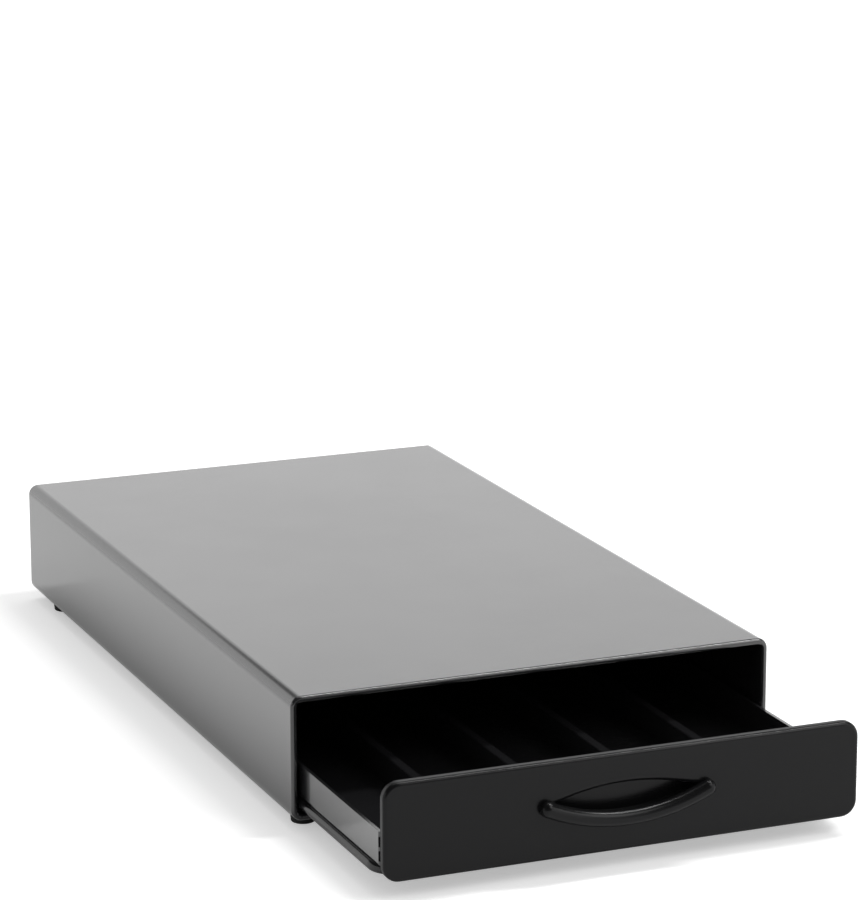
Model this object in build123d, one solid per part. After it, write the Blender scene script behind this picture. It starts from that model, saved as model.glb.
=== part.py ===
from build123d import *

import os
from math import asin, cos, sin

# Coffee pod drawer: a low sheet-steel stand with a tray drawer that slides out at the front.
# Millimetres. +X is to the right, -Y to the front and +Z up. The origin lies on the worktop, in the middle of the
# ground that the stand covers with its drawer standing open by drawer_out.

# ---------------------------------------------------------------- case sheet
case_width = 236.0
case_depth = 404.0
case_height = 58.0  # sheet body, without the feet
case_sheet = 1.0
case_bend = 5.0  # outer radius of the four long bends
hem_gap = 1.0  # between the two layers of the hem round the mouth
hem_return = 9.0  # how far the hem reaches back inside
seam_gap = 1.0  # where the wrapped sheet meets itself underneath
seam_strip_width = 30.0
seam_strip_sheet = 1.0
seam_strip_corner = 3.0
rear_sheet = 1.0
rear_flange = 12.0
rear_setback = 0.8  # rear panel's face, inside the rear edge of the case
fit_gap = 0.1  # sheet parts that are pushed into each other

# ---------------------------------------------------------------- feet and fasteners
foot_height = 5.0
foot_top_radius = 6.0
foot_base_radius = 5.6
foot_base_round = 0.8
foot_side_inset = 10.4  # foot centre from the side of the case
foot_front_inset = 14.0
foot_rear_inset = 27.0
screw_radius = 2.0
screw_head_radius = 3.4
screw_head_height = 1.9
screw_socket_radius = 1.2
screw_socket_depth = 1.0
screw_gap = 0.15  # round a screw or its head
foot_screw_sink = 0.8  # foot screw's head above the worktop
foot_nut_height = 1.9
foot_nut_flats = 7.0
foot_nut_gap = 0.7  # between a foot nut and the guide channel over it
rivet_radius = 1.6
rivet_head_radius = 3.0
rivet_head_height = 0.9
rivet_tail_radius = 2.5
rivet_gap = 0.05
seam_rivet_rows = 6
seam_rivet_inset = 30.0  # first row from the end of the strip
rear_rivet_count = 4
rear_rivet_inset = 28.0  # outermost rivet from the side of the case

# ---------------------------------------------------------------- runners and stops
wire_radius = 2.5
wire_bend = 9.0  # centre-line radius of the frame's corners
wire_side_gap = 0.4  # between the wire and the edge of the hem
wire_rear_inset = 6.5  # frame's rear run from the tray's rear face
runner_gap = 0.3  # running clearance
channel_sheet = 1.0
channel_floor_over = 1.0  # floor reaches past the wire
channel_bend_gap = 0.6  # between the channel's bend and the case's bend
pad_length = 24.0
pad_gap = 0.5  # between pad and channel
pad_height = 4.0
stop_width = 12.0
stop_base = 14.0
stop_sheet = 1.2
stop_inset = 38.0  # tab's middle from the side of the case
stop_tray_gap = 1.1
bumper_radius = 5.0
bumper_length = 6.0
bumper_round = 1.8
bumper_inset = 48.0  # buffer's middle from the side of the case

# ---------------------------------------------------------------- drawer
drawer_out = 97.5  # how far the drawer stands open
drawer_kept = 74.0  # drawer's depth that stays in the case when it meets the stop tabs
front_sheet = 1.0
front_depth = 4.0  # depth of the folded-back edge
front_corner = 7.5
front_round = 1.8
front_side_gap = 2.0  # between panel and hem
front_base_gap = 0.5
front_top_gap = 7.1
tray_sheet = 0.8
tray_wall = 16.0
tray_bend = 2.0
tray_corner = 1.3
tray_hem_depth = 4.0
tray_side_gap = 1.5  # between the tray's wall and the edge of the hem
tray_seat = 0.1  # weld seat between wire and tray
relief_depth = 1.0  # slots in the tray's side walls behind the panel
relief_height = 4.6
relief_start = 2.6  # first slot above the tray's underside
relief_pitch = 6.4
relief_count = 2
lanes = 5
divider_width = 5.0
divider_height = 13.0
divider_sheet = 0.8
divider_end_gap = 8.0
divider_nose = 7.0
divider_crown = 1.1
panel_screw_inset = 14.0  # outer screws from the panel's side
panel_screw_pull_gap = 22.0  # inner screws from the end of the pull
panel_screw_height = 8.0  # above the tray's underside
weld_nut_side = 8.0

# ---------------------------------------------------------------- pull
pull_half_width = 38.0  # to the ends of the lip's centre line
pull_lift = 1.7  # those ends above the middle of the panel
pull_sag = 8.4
pull_rise = 7.0
pull_lip_radius = 3.6
pull_lip_stand = 1.5  # lip's centre line in front of the panel
pull_depth = 6.0
pull_narrowing = 1.6  # of the pocket, from its mouth to its floor
pull_tip_radius = 2.0
pull_round = 2.6  # round over the pocket's mouth
notch_gap = 2.0  # between the pocket and the tray's front wall

# ---------------------------------------------------------------- derived places
hem_width = 2 * case_sheet + hem_gap
case_side = case_width / 2
case_front = -(case_depth - drawer_out - pull_lip_stand - pull_lip_radius) / 2
case_rear = case_front + case_depth
case_base = foot_height
case_middle = case_base + case_height / 2
inner_base = case_base + case_sheet
inner_side = case_side - case_sheet
hem_side = case_side - hem_width
hem_rear = case_front + hem_return
rear_face = case_rear - rear_setback
rear_inner = rear_face - rear_sheet
rear_flange_front = rear_face - rear_flange

drawer_travel = case_depth - drawer_kept
front_face = case_front - drawer_out
front_rear = front_face + front_depth
front_width = 2 * (hem_side - front_side_gap)
front_base = case_base + hem_width + front_base_gap
front_height = case_height - 2 * hem_width - front_base_gap - front_top_gap
front_middle = front_base + front_height / 2

channel_floor_base = inner_base + foot_nut_height + foot_nut_gap
channel_floor = channel_floor_base + channel_sheet
wire_height = channel_floor + runner_gap + wire_radius
wire_side = hem_side - wire_side_gap - wire_radius
channel_lip_base = wire_height + wire_radius + runner_gap
channel_lip_top = channel_lip_base + channel_sheet
channel_front = hem_rear + runner_gap
channel_rear = rear_flange_front - fit_gap
channel_bend = max(1.3 * channel_sheet, case_bend - case_sheet - foot_nut_height - foot_nut_gap + channel_bend_gap)

tray_side = hem_side - tray_side_gap
tray_base = wire_height + wire_radius + tray_seat
tray_top = tray_base + tray_wall
tray_floor = tray_base + tray_sheet
tray_front = front_rear
tray_rear = rear_inner - bumper_length - runner_gap - drawer_out
frame_front = tray_front + runner_gap + wire_radius
frame_rear = tray_rear - wire_rear_inset
lane_width = (2 * (tray_side - tray_sheet) - (lanes - 1) * divider_width) / lanes
stop_face = frame_rear - wire_radius - runner_gap - (drawer_travel - drawer_out)
pull_height = front_middle + pull_lift
lip_line_radius = (pull_half_width**2 + pull_sag**2) / (2 * pull_sag)
roof_line_radius = (pull_half_width**2 + pull_rise**2) / (2 * pull_rise)
beyond = case_width  # how far a cut runs past what it cuts

foot_places = {
    "front_left": (foot_side_inset - case_side, case_front + foot_front_inset),
    "front_right": (case_side - foot_side_inset, case_front + foot_front_inset),
    "rear_left": (foot_side_inset - case_side, case_rear - foot_rear_inset),
    "rear_right": (case_side - foot_side_inset, case_rear - foot_rear_inset),
}
seam_rivet_front = channel_front + seam_rivet_inset
seam_rivet_step = (channel_rear - seam_rivet_inset - seam_rivet_front) / (seam_rivet_rows - 1)
seam_places = [
    (side * seam_strip_width / 4, seam_rivet_front + row * seam_rivet_step)
    for row in range(seam_rivet_rows)
    for side in (-1, 1)
]
rear_rivet_side = case_side - rear_rivet_inset
rear_rivet_step = 2 * rear_rivet_side / (rear_rivet_count - 1)
rear_rivet_line = (rear_flange_front + rear_inner) / 2
rear_places = [(index * rear_rivet_step - rear_rivet_side, rear_rivet_line) for index in range(rear_rivet_count)]
stop_places = [(side * (case_side - stop_inset), stop_face - stop_base / 2) for side in (-1, 1)]
panel_screw_places = [
    side * distance
    for side in (-1, 1)
    for distance in (front_width / 2 - panel_screw_inset, pull_half_width + panel_screw_pull_gap)
]


# ---------------------------------------------------------------- plain shapes
def slab(x0, x1, y0, y1, z0, z1):
    """A block between two corners."""
    return Pos((x0 + x1) / 2, (y0 + y1) / 2, (z0 + z1) / 2) * Box(x1 - x0, y1 - y0, z1 - z0)


def upright_rod(x, y, z0, z1, radius):
    return Pos(x, y, (z0 + z1) / 2) * Cylinder(radius, z1 - z0)


def level_rod(x, z, y0, y1, radius):
    """A round bar that lies from front to back."""
    return Pos(x, (y0 + y1) / 2, z) * Rot(90, 0, 0) * Cylinder(radius, y1 - y0)


def rounded_block(width, height, corner, y0, y1, middle):
    """A block with four rounded edges that run from y0 back to y1."""
    plane = Plane(origin=(0, y0, middle), x_dir=(1, 0, 0), z_dir=(0, -1, 0))
    return extrude(plane * RectangleRounded(width, height, corner), amount=y0 - y1)


def case_block(inset, y0, y1):
    """The case's outline, drawn in by inset on every side."""
    width = case_width - 2 * inset
    height = case_height - 2 * inset
    return rounded_block(width, height, case_bend - inset, y0, y1, case_middle)


def edges_at_front(shape, y):
    return [edge for edge in shape.edges() if edge.bounding_box().max.Y < y + fit_gap / 10]


def edges_at_rear(shape, y):
    return [edge for edge in shape.edges() if edge.bounding_box().min.Y > y - fit_gap / 10]


def drill(shape, places, radius):
    """Upright holes through the sheets at the bottom."""
    for x, y in places:
        shape -= upright_rod(x, y, 0, case_middle, radius)
    return shape


# ---------------------------------------------------------------- case
def make_case_shell():
    """Top, sides and bottom are one wrapped sheet. Its front edge turns inwards into an open hem."""
    fold = hem_width / 2
    shell = case_block(0, case_front, case_rear)
    shell -= case_block(case_sheet, case_front + fold, case_rear + beyond)
    shell -= case_block(hem_width, case_front - beyond, case_rear)
    hem = case_block(hem_width - case_sheet, case_front + fold, hem_rear)
    shell += hem - case_block(hem_width, case_front, case_rear)
    shell = fillet(edges_at_front(shell, case_front), 0.93 * fold)
    shell -= slab(-seam_gap / 2, seam_gap / 2, case_front - beyond, case_rear + beyond, 0, case_base + 2 * hem_width)
    shell = drill(shell, foot_places.values(), screw_radius + screw_gap)
    return drill(shell, seam_places + rear_places + stop_places, rivet_radius + rivet_gap)


def make_seam_strip():
    """A flat strip over the seam, inside the bottom."""
    half = seam_strip_width / 2
    strip = slab(-half, half, channel_front, channel_rear, inner_base, inner_base + seam_strip_sheet)
    strip = fillet(strip.edges().filter_by(Axis.Z), seam_strip_corner)
    return drill(strip, seam_places, rivet_radius + rivet_gap)


def make_rear_panel():
    """A flanged pan, pushed into the case from behind."""
    outer = case_sheet + fit_gap
    pan = case_block(outer, rear_flange_front, rear_face)
    pan = fillet(edges_at_rear(pan, rear_face), 1.4 * rear_sheet)
    pan -= case_block(outer + rear_sheet, rear_flange_front - beyond, rear_inner)
    return drill(pan, rear_places, rivet_radius + rivet_gap)


def make_guide_channel():
    """Left channel: a floor under the runner wire, a web on the case's wall and a lip over the wire."""
    wall = -inner_side
    edge = wire_radius + channel_floor_over - wire_side
    channel = slab(wall, edge, channel_front, channel_rear, channel_floor_base, channel_lip_top)
    bends = channel.edges().filter_by(Axis.Y).group_by(Axis.X)[0]
    channel = fillet(bends, channel_bend)
    hollow = slab(wall + channel_sheet, edge + beyond, channel_front, channel_rear, channel_floor, channel_lip_base)
    bends = hollow.edges().filter_by(Axis.Y).group_by(Axis.X)[0]
    channel -= fillet(bends, channel_bend - channel_sheet)
    return channel - slab(-tray_side - runner_gap, edge, channel_front, channel_rear, wire_height, case_middle)


def make_stop_tab():
    """Left tab: a foot on the bottom, and an upright that the drawer's rear wire meets."""
    x = -case_side + stop_inset
    left = x - stop_width / 2
    right = x + stop_width / 2
    front = stop_face - stop_base
    tab = slab(left, right, front, stop_face, inner_base, tray_base - stop_tray_gap)
    tab = fillet(tab.edges().filter_by(Axis.X).group_by(Axis.Z)[0].sort_by(Axis.Y)[-1], 1.5 * stop_sheet)
    hollow = slab(left, right, front - beyond, stop_face - stop_sheet, inner_base + stop_sheet, beyond)
    hollow = fillet(hollow.edges().filter_by(Axis.X).group_by(Axis.Z)[0].sort_by(Axis.Y)[-1], 0.5 * stop_sheet)
    return drill(tab - hollow, stop_places[:1], rivet_radius + rivet_gap)


def make_rear_bumper():
    """Left rubber buffer, on the inside of the rear panel."""
    front = rear_inner - bumper_length
    bumper = level_rod(-case_side + bumper_inset, (tray_base + tray_top) / 2, front, rear_inner, bumper_radius)
    return fillet(bumper.edges().group_by(Axis.Y)[0], bumper_round)


def make_rivet(x, y, seat):
    """Its domed head lies under the case's bottom, and its tail is spread on the seat inside."""
    head = upright_rod(x, y, case_base - rivet_head_height, case_base, rivet_head_radius)
    head = fillet(head.edges().group_by(Axis.Z)[0], 0.8 * rivet_head_height)
    shank = upright_rod(x, y, case_base, seat, rivet_radius)
    return head + shank + upright_rod(x, y, seat, seat + rivet_head_height, rivet_tail_radius)


def make_foot(x, y):
    """A tapered rubber foot with a counterbore for its screw."""
    foot = Pos(x, y, foot_height / 2) * Cone(foot_base_radius, foot_top_radius, foot_height)
    foot = fillet(foot.edges().group_by(Axis.Z)[0], foot_base_round)
    foot -= upright_rod(x, y, 0, foot_screw_sink + screw_head_height, screw_head_radius + screw_gap)
    return foot - upright_rod(x, y, 0, foot_height, screw_radius + screw_gap)


def make_foot_screw(x, y):
    """A pan-head screw with a round socket, as long as foot, sheet and nut together."""
    seat = foot_screw_sink + screw_head_height
    head = upright_rod(x, y, foot_screw_sink, seat, screw_head_radius)
    head = fillet(head.edges().group_by(Axis.Z)[0], screw_head_height / 2)
    head -= upright_rod(x, y, 0, foot_screw_sink + screw_socket_depth, screw_socket_radius)
    return head + upright_rod(x, y, seat, inner_base + foot_nut_height, screw_radius)


def make_foot_nut(x, y):
    """A thin hexagon nut on the inside of the bottom."""
    outline = RegularPolygon(foot_nut_flats / 2, 6, major_radius=False)
    nut = extrude(Pos(x, y, inner_base) * outline, amount=foot_nut_height)
    return nut - upright_rod(x, y, 0, case_middle, screw_radius + rivet_gap)


# ---------------------------------------------------------------- drawer
def pull_outline(y, spread):
    """Outline of the pull's pocket at the depth y: two arcs, moved out by spread, with rounded tips."""
    below = Pos(0, pull_height - pull_sag + lip_line_radius) * Circle(lip_line_radius + spread)
    above = Pos(0, pull_height + pull_rise - roof_line_radius) * Circle(roof_line_radius + spread)
    lens = below & above
    lens = fillet(lens.vertices(), pull_tip_radius + spread)
    return Plane(origin=(0, y, 0), x_dir=(1, 0, 0), z_dir=(0, -1, 0)) * lens


def pull_pocket(spread, y0, y1):
    """The pocket with its walls moved out by spread, from its mouth at y0 to its floor at y1."""
    return loft([pull_outline(y0, spread), pull_outline(y1, spread - pull_narrowing)], ruled=True)


def make_pull_lip():
    """A smile-shaped round lip with round ends, cut flat in the middle of the panel's sheet."""
    turn = asin(pull_half_width / lip_line_radius) + pull_lip_radius / lip_line_radius
    x = lip_line_radius * sin(turn)
    y = front_face - pull_lip_stand
    low = pull_height - pull_sag
    high = low + lip_line_radius * (1 - cos(turn))
    line = ThreePointArc((-x, y, high), (0, y, low), (x, y, high))
    lip = sweep(Plane(origin=line @ 0, z_dir=line % 0) * Circle(pull_lip_radius), path=line)
    ends = [edge for edge in lip.edges().filter_by(GeomType.CIRCLE) if edge.length < 7 * pull_lip_radius]
    lip = fillet([edge for edge in ends if edge.radius < 1.01 * pull_lip_radius], 0.93 * pull_lip_radius)
    return lip - slab(-2 * x, 2 * x, front_face + front_sheet / 2, y + beyond, 0, beyond)


def make_drawer_front():
    """A stamped panel with folded-back edges. Its pull is a pocket over a round lip."""
    panel = rounded_block(front_width, front_height, front_corner, front_face, front_rear, front_middle)
    panel = fillet(edges_at_front(panel, front_face), front_round)
    panel -= rounded_block(
        front_width - 2 * front_sheet,
        front_height - 2 * front_sheet,
        front_corner - front_sheet,
        front_face + front_sheet,
        front_rear + beyond,
        front_middle,
    )
    panel += pull_pocket(front_sheet, front_face + front_sheet / 2, front_face + pull_depth + front_sheet)
    panel -= pull_pocket(0, front_face, front_face + pull_depth)
    mouth = [edge for edge in edges_at_front(panel, front_face) if abs(edge.center().X) < pull_half_width]
    mouth = [edge for edge in mouth if abs(edge.center().Z - pull_height) < pull_sag + pull_rise]
    return fillet(mouth, pull_round) + make_pull_lip()


def make_drawer_tray():
    """A folded tray with a hemmed top edge, slots behind the panel and a notch behind the pull."""
    length = tray_rear - tray_front
    middle = (tray_front + tray_rear) / 2
    tray = Pos(0, middle, (tray_base + tray_top) / 2) * Box(2 * tray_side, length, tray_wall)
    tray = fillet(tray.edges().filter_by(Axis.Z), tray_corner)
    tray = fillet(tray.edges().group_by(Axis.Z)[0], tray_bend)
    hollow_top = tray_top - tray_hem_depth
    hollow = Pos(0, middle, (tray_floor + hollow_top) / 2) * Box(
        2 * (tray_side - tray_sheet), length - 2 * tray_sheet, hollow_top - tray_floor
    )
    hollow = fillet(hollow.edges().filter_by(Axis.Z), tray_corner - tray_sheet)
    hollow = fillet(hollow.edges().group_by(Axis.Z)[0], tray_bend - tray_sheet)
    hem_inset = 2 * tray_sheet
    mouth = slab(
        hem_inset - tray_side,
        tray_side - hem_inset,
        tray_front + hem_inset,
        tray_rear - hem_inset,
        hollow_top,
        tray_top,
    )
    tray -= hollow + mouth
    for index in range(relief_count):
        slot = tray_base + relief_start + index * relief_pitch
        for left in (-tray_side, tray_side - hem_inset):
            tray -= slab(left, left + hem_inset, tray_front, tray_front + relief_depth, slot, slot + relief_height)
    notch = pull_half_width + notch_gap
    notch_base = pull_height - pull_sag - front_sheet - notch_gap
    tray -= slab(-notch, notch, tray_front, tray_front + 2 * hem_inset, notch_base, tray_top)
    for x in panel_screw_places:
        hole_radius = screw_radius + screw_gap
        tray -= level_rod(x, tray_base + panel_screw_height, tray_front, tray_front + 2 * hem_inset, hole_radius)
    return tray


def part_at_bends(tray):
    """The tray's flat bottom and its four walls, each wall with its own bend."""
    side = tray_side - tray_bend
    front = tray_front + tray_bend
    rear = tray_rear - tray_bend
    return {
        "tray_bottom": tray & slab(-side, side, front, rear, tray_base, tray_top),
        "tray_wall_left": tray & slab(-tray_side, -side, tray_front, tray_rear, tray_base, tray_top),
        "tray_wall_right": tray & slab(side, tray_side, tray_front, tray_rear, tray_base, tray_top),
        "tray_wall_front": tray & slab(-side, side, tray_front, front, tray_base, tray_top),
        "tray_wall_rear": tray & slab(-side, side, rear, tray_rear, tray_base, tray_top),
    }


def make_lane_divider(index):
    """A strip folded to an upside-down U. It stands on the tray's floor between two lanes."""
    half = divider_width / 2
    x = index * (lane_width + divider_width) - half - tray_side + tray_sheet
    front = tray_front + tray_sheet + divider_end_gap
    rear = tray_rear - tray_sheet - divider_end_gap
    top = tray_floor + divider_height
    divider = slab(x - half, x + half, front, rear, tray_floor, top)
    divider = fillet(divider.edges().filter_by(Axis.X).group_by(Axis.Z)[-1], divider_nose)
    divider = fillet(divider.edges().group_by(Axis.Z)[-1].filter_by(Axis.Y), divider_crown)
    left = x - half + divider_sheet
    right = x + half - divider_sheet
    divider -= slab(left, right, front, rear, tray_floor, top - divider_nose)
    return divider - slab(left, right, front + divider_nose, rear - divider_nose, tray_floor, top - divider_sheet)


def make_runner_frame():
    """One round wire, bent into a closed frame under the tray."""
    middle = (frame_front + frame_rear) / 2
    outline = RectangleRounded(2 * wire_side, frame_rear - frame_front, wire_bend)
    line = (Pos(0, middle, wire_height) * outline).wire()
    return sweep(Plane(origin=line @ 0, z_dir=line % 0) * Circle(wire_radius), path=line)


def make_runner_pad():
    """Left nylon pad, clipped on the outer side of the runner near its rear end."""
    rear = frame_rear - wire_bend
    front = rear - pad_length
    outer = -inner_side + channel_sheet + pad_gap
    low = wire_height - pad_height / 2
    pad = slab(outer, -wire_side - wire_radius / 2, front, rear, low, low + pad_height)
    pad = fillet(pad.edges().filter_by(Axis.Z).group_by(Axis.X)[0], pad_gap)
    return pad - level_rod(-wire_side, wire_height, front, rear, wire_radius + rivet_gap)


def make_panel_screw(x):
    """A pan-head screw from inside the tray, through its front wall into the panel's nut."""
    z = tray_base + panel_screw_height
    seat = tray_front + tray_sheet
    head = level_rod(x, z, seat, seat + screw_head_height, screw_head_radius)
    head = fillet(head.edges().group_by(Axis.Y)[-1], screw_head_height / 2)
    head -= level_rod(x, z, seat + screw_head_height - screw_socket_depth, seat + screw_head_height, screw_socket_radius)
    return head + level_rod(x, z, front_face + front_sheet + screw_gap, seat, screw_radius)


def make_weld_nut(x):
    """A square nut on the back of the panel. It fills the space to the tray's front wall."""
    z = tray_base + panel_screw_height
    half = weld_nut_side / 2
    nut = slab(x - half, x + half, front_face + front_sheet, tray_front, z - half, z + half)
    return nut - level_rod(x, z, front_face + front_sheet, tray_front, screw_radius + rivet_gap)


# ---------------------------------------------------------------- files
def save(shape, node):
    export_step(shape, f"parts/{node}.step")


def save_pair(left, node):
    """A left piece and its mirror image."""
    save(left, f"{node}_left")
    save(mirror(left, about=Plane.YZ), f"{node}_right")


def save_group(pieces, node):
    """Like fasteners go into one file as separate solids."""
    save(Compound(children=list(pieces)), node)


os.makedirs("parts", exist_ok=True)

save(make_case_shell(), "case_shell")
save(make_seam_strip(), "seam_strip")
save_group([make_rivet(x, y, inner_base + seam_strip_sheet) for x, y in seam_places], "seam_rivets")
save(make_rear_panel(), "rear_panel")
save_group([make_rivet(x, y, inner_base + fit_gap + rear_sheet) for x, y in rear_places], "rear_panel_rivets")
save_pair(make_guide_channel(), "guide_channel")
save_pair(make_stop_tab(), "stop_tab")
save_group([make_rivet(x, y, inner_base + stop_sheet) for x, y in stop_places], "stop_tab_rivets")
save_pair(make_rear_bumper(), "rear_bumper")
for corner, (x, y) in foot_places.items():
    save(make_foot(x, y), f"foot_{corner}")
save_group([make_foot_screw(x, y) for x, y in foot_places.values()], "foot_screws")
save_group([make_foot_nut(x, y) for x, y in foot_places.values()], "foot_nuts")

save(make_drawer_front(), "drawer_front")
for node, piece in part_at_bends(make_drawer_tray()).items():
    save(piece, node)
save(make_runner_frame(), "runner_frame")
save_pair(make_runner_pad(), "runner_pad")
for number in range(1, lanes):
    save(make_lane_divider(number), f"lane_divider_{number}")
save_group([make_panel_screw(x) for x in panel_screw_places], "panel_screws")
save_group([make_weld_nut(x) for x in panel_screw_places], "panel_weld_nuts")
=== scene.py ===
import math
import random

import bmesh
import bpy
from mathutils import Matrix, Vector


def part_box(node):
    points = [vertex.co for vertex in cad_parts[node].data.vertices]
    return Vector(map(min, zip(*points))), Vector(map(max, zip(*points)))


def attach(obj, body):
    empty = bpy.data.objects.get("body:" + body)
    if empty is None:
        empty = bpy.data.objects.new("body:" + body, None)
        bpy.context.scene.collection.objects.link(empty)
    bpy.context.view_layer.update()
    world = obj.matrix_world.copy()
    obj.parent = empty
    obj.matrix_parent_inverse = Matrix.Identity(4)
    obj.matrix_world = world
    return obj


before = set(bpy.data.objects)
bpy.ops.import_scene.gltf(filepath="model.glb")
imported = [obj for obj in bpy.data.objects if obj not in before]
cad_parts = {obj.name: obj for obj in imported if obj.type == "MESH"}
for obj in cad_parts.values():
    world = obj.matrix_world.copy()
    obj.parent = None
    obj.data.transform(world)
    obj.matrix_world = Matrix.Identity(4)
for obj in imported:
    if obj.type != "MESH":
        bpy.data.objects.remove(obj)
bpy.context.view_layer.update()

scene = bpy.context.scene


# ---------------------------------------------------------------- camera
# A long lens stands to the left in front of the stand and looks down on it a little.
camera_place = (-0.6660, -1.6428, 0.5725)
camera_turn = math.radians(22.37)
camera_dip = math.radians(14.03)
camera_roll = math.radians(-0.12)
lens = bpy.data.cameras.new("studio_camera")
lens.sensor_fit = "HORIZONTAL"
lens.sensor_width = 36.0
lens.lens = 158.43
camera = bpy.data.objects.new("studio_camera", lens)
camera.matrix_world = (
    Matrix.Translation(camera_place)
    @ Matrix.Rotation(-camera_turn, 4, "Z")
    @ Matrix.Rotation(math.pi / 2 - camera_dip, 4, "X")
    @ Matrix.Rotation(camera_roll, 4, "Z")
)
scene.collection.objects.link(camera)
scene.camera = camera
scene.view_settings.view_transform = "Standard"


# ---------------------------------------------------------------- room
# A white table in a white room under a dark ceiling. Flat glossy sheets mirror the white of the room's
# walls and table, and their bends catch the lamps overhead.
wall_top = 0.39  # sine of the height over the horizon where the white of the walls ends
wall_blur = 0.06
ceiling_light = 0.05
dark_wall = 0.12  # left part of the wall in front of the stand
dark_wall_end = 0.25  # where that part ends, as the X of a direction
lit_wall = 1.5  # right part of that wall, by the window
lit_wall_start = 0.6
front_wall_start = -0.1  # where that wall comes in and where it is whole, as the Y of a direction
front_wall_whole = -0.6
room_light = 0.50  # on everything that isn't a mirror
lamps = {  # place, width, depth and watts
    "soft_lamp": ((0.05, 0.45, 1.7), 1.4, 0.9, 4.0),
    "strip_lamp": ((0.68, -0.16, 1.55), 0.9, 0.12, 13.0),
    "front_lamp": ((0.85, -1.10, 1.10), 0.8, 0.8, 6.5),
}
table_side = 12.0
table_white = 0.88
table_near = 0.5  # from the stand to where the far glow starts
table_far = 2.0  # and to where it is whole
glow_far = 0.45
glow_seen = 0.43  # everywhere, for the camera
glow_mirrored = 0.04  # on the left, for mirrors
painted_window_light = 0.25  # painted light on the right, standing in for a window, seen only in mirrors
painted_light_start = -0.15
painted_light_full = 0.45


def put(tree, kind, sockets=None, **settings):
    """Adds a shader node. Each socket gets a value, or a link from another node's output."""
    made = tree.nodes.new("ShaderNode" + kind)
    for name, value in settings.items():
        setattr(made, name, value)
    for name, value in (sockets or {}).items():
        if isinstance(value, bpy.types.NodeSocket):
            tree.links.new(value, made.inputs[name])
        else:
            made.inputs[name].default_value = value
    return made


def between(tree, amount, low, high):
    """A number that goes from low to high as the amount goes from 0 to 1."""
    return put(tree, "Mix", {0: amount, 2: low, 3: high}, data_type="FLOAT").outputs[0]


def larger(tree, one, other):
    return put(tree, "Math", {0: one, 1: other}, operation="MAXIMUM").outputs[0]


def times(tree, one, other):
    return put(tree, "Math", {0: one, 1: other}, operation="MULTIPLY").outputs[0]


def plus(tree, one, other):
    return put(tree, "Math", {0: one, 1: other}, operation="ADD").outputs[0]


def ramp(tree, value, start, end, low=0.0, high=1.0):
    """A smooth step of the value from low at start to high at end."""
    sockets = {"Value": value, "From Min": start, "From Max": end, "To Min": low, "To Max": high}
    return put(tree, "MapRange", sockets, interpolation_type="SMOOTHSTEP").outputs["Result"]


room = bpy.data.worlds.new("room")
room.use_nodes = True
scene.world = room
walls = room.node_tree
walls.nodes.clear()
ray = put(walls, "LightPath").outputs
towards = put(walls, "SeparateXYZ", {"Vector": put(walls, "TexCoord").outputs["Generated"]}).outputs
wall_light = ramp(walls, towards["Z"], wall_top, wall_top + wall_blur, 1.0, ceiling_light)
front_wall = ramp(walls, towards["X"], dark_wall_end, lit_wall_start, dark_wall, lit_wall)
behind = ramp(walls, towards["Y"], front_wall_whole, front_wall_start)
wall_light = times(walls, wall_light, between(walls, behind, front_wall, 1.0))
mirrored = larger(walls, ray["Is Glossy Ray"], ray["Is Transmission Ray"])
strength = between(walls, mirrored, room_light, wall_light)
strength = between(walls, ray["Is Camera Ray"], strength, 1.0)
background = put(walls, "Background", {"Color": (1.0, 1.0, 1.0, 1.0), "Strength": strength})
put(walls, "OutputWorld", {"Surface": background.outputs["Background"]})

for name, (place, width, depth, watts) in lamps.items():
    lamp = bpy.data.lights.new(name, "AREA")
    lamp.shape = "RECTANGLE"
    lamp.size = width
    lamp.size_y = depth
    lamp.energy = watts
    lamp_box = bpy.data.objects.new(name, lamp)
    facing = Vector(place).to_track_quat("Z", "X").to_matrix().to_4x4()  # its back is turned away from the stand
    lamp_box.matrix_world = Matrix.Translation(place) @ facing
    scene.collection.objects.link(lamp_box)


def new_object(name, mesh, material):
    """Turns the bmesh into an object of the scene, at the origin, in one material."""
    data = bpy.data.meshes.new(name)
    mesh.to_mesh(data)
    mesh.free()
    data.materials.append(material)
    made = bpy.data.objects.new(name, data)
    scene.collection.objects.link(made)
    return made


def new_material(name, sockets):
    """A material with one Principled shader, and its node tree and that shader."""
    material = bpy.data.materials.new(name)
    material.use_nodes = True
    tree = material.node_tree
    tree.nodes.clear()
    shader = put(tree, "BsdfPrincipled", sockets)
    put(tree, "OutputMaterial", {"Surface": shader.outputs["BSDF"]})
    return material, tree, shader


def grey(value, blue=1.0):
    return (value, value, value * blue, 1.0)


table_top, tree, shader = new_material(
    "table_top", {"Base Color": grey(table_white), "Roughness": 0.8, "Specular IOR Level": 0.1}
)
ray = put(tree, "LightPath").outputs
mirrored = larger(tree, ray["Is Glossy Ray"], ray["Is Transmission Ray"])
place = put(tree, "TexCoord").outputs["Object"]
distance = put(tree, "VectorMath", {0: place}, operation="LENGTH")
far = ramp(tree, distance.outputs["Value"], table_near, table_far, 0.0, glow_far)
sideways = put(tree, "SeparateXYZ", {"Vector": place}).outputs["X"]
# The table is painted brighter towards the right for mirror rays only: a painted pool of window light that the
# drawer front reflects.
painted_light = ramp(tree, sideways, painted_light_start, painted_light_full, glow_mirrored, painted_window_light)
glow = plus(tree, times(tree, mirrored, painted_light), times(tree, ray["Is Camera Ray"], glow_seen))
glow = plus(tree, glow, times(tree, far, larger(tree, mirrored, ray["Is Camera Ray"])))
tree.links.new(glow, shader.inputs["Emission Strength"])
shader.inputs["Emission Color"].default_value = grey(1.0)
mesh = bmesh.new()
bmesh.ops.create_grid(mesh, x_segments=1, y_segments=1, size=table_side / 2)
new_object("table", mesh, table_top)


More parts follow.
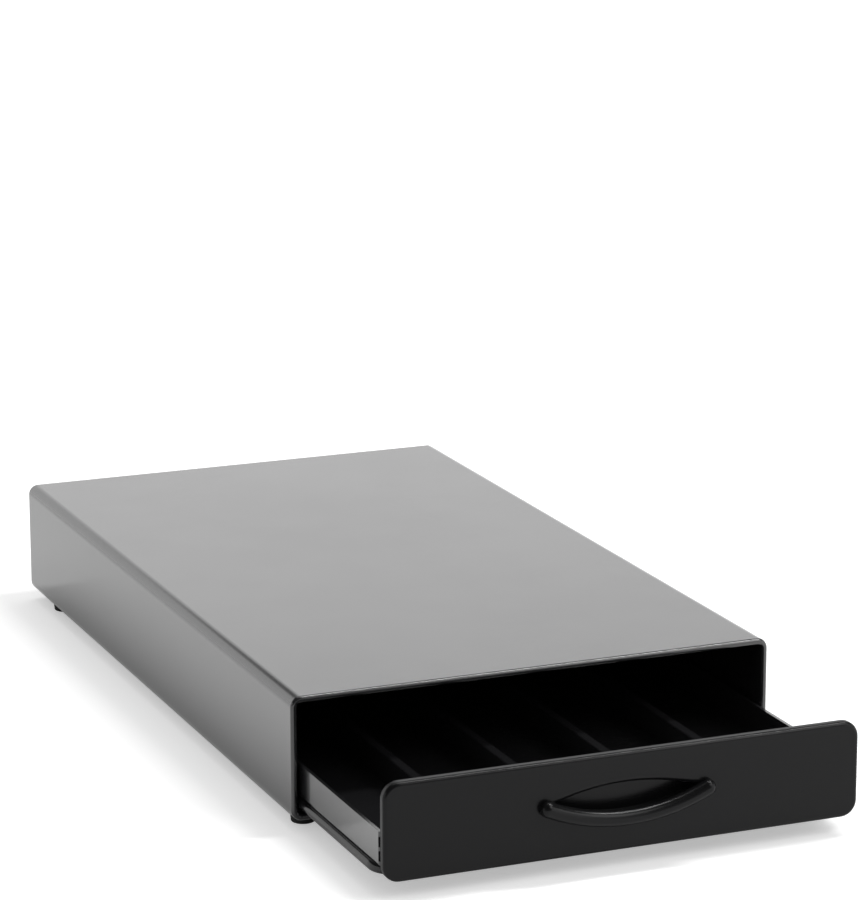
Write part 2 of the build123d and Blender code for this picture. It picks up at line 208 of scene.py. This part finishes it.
# ---------------------------------------------------------------- case shell and rear panel
# One wrapped sheet of 1 mm steel makes top, sides and bottom, and a flanged pan closes its back.
# Both are coated in smooth semi-gloss black powder, which flows out to a faint orange peel.
case_black = 0.013
case_roughness = 0.20
case_coat_roughness = 0.10
peel_depth = 0.00002
waves_per_metre = 420.0
mottle_per_metre = 30.0
specks_per_metre = 1500.0
clouds_per_metre = 9.0
plain_dust = 0.25  # what lies between the specks
dust_grey = 0.42
dust_dulling = 0.15  # what full dust adds to the roughness


def new_group(name, inputs, outputs):
    """An empty node group with plain numbers going in and out."""
    group = bpy.data.node_groups.new(name, "ShaderNodeTree")
    for label, value in inputs.items():
        socket = group.interface.new_socket(label, in_out="INPUT", socket_type="NodeSocketFloat")
        socket.default_value = value
    for label in outputs:
        group.interface.new_socket(label, in_out="OUTPUT", socket_type="NodeSocketFloat")
    return group, group.nodes.new("NodeGroupInput").outputs, group.nodes.new("NodeGroupOutput").inputs


def noise(tree, place, scale, detail, roughness=0.5):
    sockets = {"Vector": place, "Scale": scale, "Detail": detail, "Roughness": roughness}
    return put(tree, "TexNoise", sockets).outputs[0]


# Powder coat: Peel is the height of its low waves, Mottle the slow change of its gloss from place to
# place, and Dust the share of a surface that faces up and has caught some.
powder, given, result = new_group(
    "powder_coat",
    {"Waves per metre": waves_per_metre, "Mottle per metre": mottle_per_metre},
    ("Peel", "Mottle", "Dust"),
)
place = put(powder, "TexCoord").outputs["Object"]
facing = put(powder, "SeparateXYZ", {"Vector": put(powder, "NewGeometry").outputs["Normal"]}).outputs["Z"]
slow = noise(powder, place, given["Mottle per metre"], 3.0)
powder.links.new(noise(powder, place, given["Waves per metre"], 1.5), result["Peel"])
powder.links.new(ramp(powder, slow, 0.3, 0.7), result["Mottle"])
specks = ramp(powder, noise(powder, place, specks_per_metre, 3.0, 0.7), 0.6, 0.8)
cloud = ramp(powder, noise(powder, place, clouds_per_metre, 4.0, 0.6), 0.35, 0.75)
settled = times(powder, ramp(powder, facing, 0.5, 1.0), cloud)
dust = times(powder, settled, plus(powder, specks, plain_dust))
powder.links.new(dust, result["Dust"])


def coat(name, black, roughness, peel, sockets, mottle=0.08, dust=0.03, waves=waves_per_metre):
    """A black powder-coat finish: a Principled shader whose colour, gloss and relief come from the group."""
    material, tree, shader = new_material(name, sockets)
    layer = tree.nodes.new("ShaderNodeGroup")
    layer.node_tree = powder
    layer.inputs["Waves per metre"].default_value = waves
    given = layer.outputs
    veil = times(tree, given["Dust"], dust)
    colour = put(tree, "Mix", {0: veil, 6: grey(black, 1.08), 7: grey(dust_grey, 0.94)}, data_type="RGBA")
    tree.links.new(colour.outputs[2], shader.inputs["Base Color"])
    gloss = between(tree, given["Mottle"], roughness - mottle / 2, roughness + mottle / 2)
    gloss = plus(tree, gloss, times(tree, given["Dust"], dust_dulling))
    tree.links.new(gloss, shader.inputs["Roughness"])
    relief = put(tree, "Bump", {"Height": given["Peel"], "Strength": 1.0, "Distance": peel})
    tree.links.new(relief.outputs["Normal"], shader.inputs["Normal"])
    return material


def finish_nodes(material, *nodes):
    """Gives whole sub-parts of the frame their finish."""
    for node in nodes:
        for slot in bpy.data.objects[node].material_slots:
            slot.material = material


gloss_coat = {"Coat Weight": 1.0, "Coat Roughness": case_coat_roughness, "Coat IOR": 1.5, "IOR": 1.5}
case_paint = coat("case_paint", case_black, case_roughness, peel_depth, gloss_coat, mottle=0.02, dust=0.01)
finish_nodes(case_paint, "case_shell", "rear_panel")


# ---------------------------------------------------------------- parts inside the case
# Channels, stop tabs and the seam strip are bent from sheet and sprayed with a drier, duller film before they
# go in. The channels are spot-welded to the case's walls, and tabs and strip are riveted to its bottom.
inner_paint = coat(
    "inner_paint", black=0.016, roughness=0.45, peel=2 * peel_depth, sockets={"IOR": 1.45}, mottle=0.12, waves=600.0
)
finish_nodes(
    inner_paint, "seam_strip", "guide_channel_left", "guide_channel_right", "stop_tab_left", "stop_tab_right"
)


# ---------------------------------------------------------------- rivets
# Black steel blind rivets with domed heads, blackened and slightly waxed.
rivet_paint = coat(
    "rivet_paint", black=0.022, roughness=0.32, peel=peel_depth, sockets={"IOR": 1.5}, waves=1500.0
)
finish_nodes(rivet_paint, "seam_rivets", "rear_panel_rivets", "stop_tab_rivets")


# ---------------------------------------------------------------- rubber feet and buffers
# Moulded black rubber with a fine matt skin from the mould. Each foot is held by one screw, and the buffers sit
# on the rear panel.
rubber_grains = 2600.0  # per metre
rubber_grain_depth = 0.00004
bloom_per_metre = 160.0
rubber_skin, given, result = new_group("moulded_skin", {"Grains per metre": rubber_grains}, ("Grain", "Bloom"))
place = put(rubber_skin, "TexCoord").outputs["Object"]
cells = put(rubber_skin, "TexVoronoi", {"Vector": place, "Scale": given["Grains per metre"]})
rubber_skin.links.new(cells.outputs["Distance"], result["Grain"])
patches = noise(rubber_skin, place, bloom_per_metre, 4.0)
rubber_skin.links.new(ramp(rubber_skin, patches, 0.35, 0.7), result["Bloom"])


def moulding(name, black, bloom, roughness, grains, depth, sockets):
    """A moulded finish: a grained skin with a faint pale bloom in places."""
    material, tree, shader = new_material(name, sockets)
    layer = tree.nodes.new("ShaderNodeGroup")
    layer.node_tree = rubber_skin
    layer.inputs["Grains per metre"].default_value = grains
    given = layer.outputs
    colour = put(tree, "Mix", {0: given["Bloom"], 6: grey(black), 7: grey(bloom)}, data_type="RGBA")
    tree.links.new(colour.outputs[2], shader.inputs["Base Color"])
    gloss = between(tree, given["Bloom"], roughness - 0.05, roughness + 0.07)
    tree.links.new(gloss, shader.inputs["Roughness"])
    relief = put(tree, "Bump", {"Height": given["Grain"], "Strength": 1.0, "Distance": depth})
    tree.links.new(relief.outputs["Normal"], shader.inputs["Normal"])
    return material


rubber = moulding(
    "rubber", black=0.012, bloom=0.022, roughness=0.72, grains=rubber_grains, depth=rubber_grain_depth,
    sockets={"IOR": 1.5, "Specular IOR Level": 0.35},
)
foot_corners = ("front_left", "front_right", "rear_left", "rear_right")
finish_nodes(rubber, "rear_bumper_left", "rear_bumper_right", *("foot_" + corner for corner in foot_corners))


# ---------------------------------------------------------------- screws and nuts
# Bright zinc-plated steel with the fine turning marks of the machine they come from.
marks_per_metre = 3200.0
marks_depth = 0.00001
stains_per_metre = 260.0
blue_zinc = (0.50, 0.51, 0.53, 1.0)
dull_zinc = (0.62, 0.61, 0.58, 1.0)
zinc, tree, shader = new_material("zinc_steel", {"Metallic": 1.0, "IOR": 1.5})
place = put(tree, "TexCoord").outputs["Object"]
marks = noise(tree, place, marks_per_metre, 4.0, 0.6)
stain = ramp(tree, noise(tree, place, stains_per_metre, 3.0), 0.35, 0.7)
colour = put(tree, "Mix", {0: stain, 6: blue_zinc, 7: dull_zinc}, data_type="RGBA")
tree.links.new(colour.outputs[2], shader.inputs["Base Color"])
tree.links.new(between(tree, marks, 0.22, 0.42), shader.inputs["Roughness"])
relief = put(tree, "Bump", {"Height": marks, "Strength": 1.0, "Distance": marks_depth})
tree.links.new(relief.outputs["Normal"], shader.inputs["Normal"])
finish_nodes(zinc, "foot_screws", "foot_nuts", "panel_screws", "panel_weld_nuts")

# Each screw is driven by a hexagon key: a pressed hexagon lines the round socket in its head.
socket_radius = 0.00118
socket_flats = 0.0010  # half the width across the hexagon's flats
socket_depth = 0.00096
socket_sink = 0.00002  # below the rim of the head
socket_segments = 24
foot_head_gap = 0.0008  # from the table to a foot screw's head
inner_screw_side = 0.060  # inner panel screws from the middle


def add_socket(mesh, place):
    """A ring, round outside and hexagonal inside, that runs upwards from its mouth before it is placed."""
    kept = set(mesh.verts)
    bmesh.ops.create_circle(mesh, segments=socket_segments, radius=socket_radius)
    for vert in bmesh.ops.create_circle(mesh, segments=socket_segments, radius=1.0)["verts"]:
        from_flat = math.atan2(vert.co.y, vert.co.x) % (math.pi / 3) - math.pi / 6
        vert.co *= socket_flats / math.cos(from_flat)
    loops = [edge for edge in mesh.edges if not set(edge.verts) & kept]
    mouth = bmesh.ops.bridge_loops(mesh, edges=loops)["faces"]
    raised = bmesh.ops.extrude_face_region(mesh, geom=mouth, use_keep_orig=True)["geom"]
    raised = [part for part in raised if isinstance(part, bmesh.types.BMVert)]
    bmesh.ops.translate(mesh, verts=raised, vec=(0, 0, socket_depth))
    bmesh.ops.transform(mesh, matrix=place, verts=[vert for vert in mesh.verts if vert not in kept])


mesh = bmesh.new()
for corner in foot_corners:
    low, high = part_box("foot_" + corner)
    middle = (low + high) / 2
    add_socket(mesh, Matrix.Translation((middle.x, middle.y, foot_head_gap + socket_sink)))
bmesh.ops.recalc_face_normals(mesh, faces=mesh.faces)
foot_sockets = new_object("foot_screw_sockets", mesh, zinc)
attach(foot_sockets, "case")

mesh = bmesh.new()
low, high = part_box("panel_weld_nuts")
middle = (low + high) / 2
outer_screw_side = high.x - (high.z - low.z) / 2
head_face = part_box("panel_screws")[1].y - socket_sink
for x in (-outer_screw_side, -inner_screw_side, inner_screw_side, outer_screw_side):
    add_socket(mesh, Matrix.Translation((x, head_face, middle.z)) @ Matrix.Rotation(math.pi / 2, 4, "X"))
bmesh.ops.recalc_face_normals(mesh, faces=mesh.faces)
panel_sockets = new_object("panel_screw_sockets", mesh, zinc)
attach(panel_sockets, "drawer")


# ---------------------------------------------------------------- drawer front
# A stamped steel panel with folded-back edges and a smile-shaped pull. Four screws hold it to the tray's front
# wall. Its powder coat is the satin grade.
front_paint = coat(
    "front_paint", black=0.005, roughness=0.24, peel=peel_depth, sockets={"IOR": 1.30}, mottle=0.03, dust=0.01
)
finish_nodes(front_paint, "drawer_front")


# ---------------------------------------------------------------- tray and lane dividers
# A folded tray of 0.8 mm steel with a hemmed edge, and four folded strips that stand on its floor. Both have the
# case's powder coat, a little duller.
tray_paint = coat(
    "tray_paint", black=case_black, roughness=0.22, peel=peel_depth, sockets=gloss_coat, mottle=0.03, dust=0.02
)
tray_nodes = ["tray_bottom", "tray_wall_left", "tray_wall_right", "tray_wall_front", "tray_wall_rear"]
divider_nodes = [f"lane_divider_{index}" for index in range(1, 5)]
finish_nodes(tray_paint, *tray_nodes, *divider_nodes)


# ---------------------------------------------------------------- runner frame
# One 5 mm wire bent into a closed frame, welded under the tray and dipped in gloss black lacquer.
wire_paint = coat("wire_paint", black=0.008, roughness=0.12, peel=peel_depth, sockets={"IOR": 1.5}, mottle=0.05)
finish_nodes(wire_paint, "runner_frame")

# Short weld beads run along the inner side of the wire. Each is a row of small ripples.
wire_radius = 0.0025
bead_count = 7  # on each side
bead_inset = 0.030  # end beads from the ends of the frame
ripple_count = 6
ripple_pitch = 0.0012
ripple_size = (0.0011, 0.0009, 0.0009)
ripple_play = 0.00012  # how unevenly the ripples lie
bead_inward = 1.78 * wire_radius  # from the outer side of the wire
bead_drop = 0.0004  # from the top of the wire
dice = random.Random(4)
low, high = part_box("runner_frame")
step = (high.y - low.y - 2 * bead_inset) / (bead_count - 1)
mesh = bmesh.new()
for side in (-1, 1):
    for bead in range(bead_count):
        start = low.y + bead_inset + bead * step
        for ripple in range(ripple_count):
            blob = bmesh.ops.create_uvsphere(mesh, u_segments=12, v_segments=8, radius=1.0)["verts"]
            bmesh.ops.scale(mesh, vec=ripple_size, verts=blob)
            play = Vector(dice.uniform(-ripple_play, ripple_play) for _ in range(3))
            spot = Vector((side * (high.x - bead_inward), start + ripple * ripple_pitch, high.z - bead_drop))
            bmesh.ops.translate(mesh, vec=spot + play, verts=blob)
for face in mesh.faces:
    face.smooth = True
beads = new_object("runner_weld_beads", mesh, wire_paint)
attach(beads, "drawer")


# ---------------------------------------------------------------- runner pads
# Small moulded nylon saddles that are clipped on the wire.
nylon = moulding(
    "nylon", black=0.02, bloom=0.03, roughness=0.42, grains=1800.0, depth=0.00002, sockets={"IOR": 1.53}
)
finish_nodes(nylon, "runner_pad_left", "runner_pad_right")
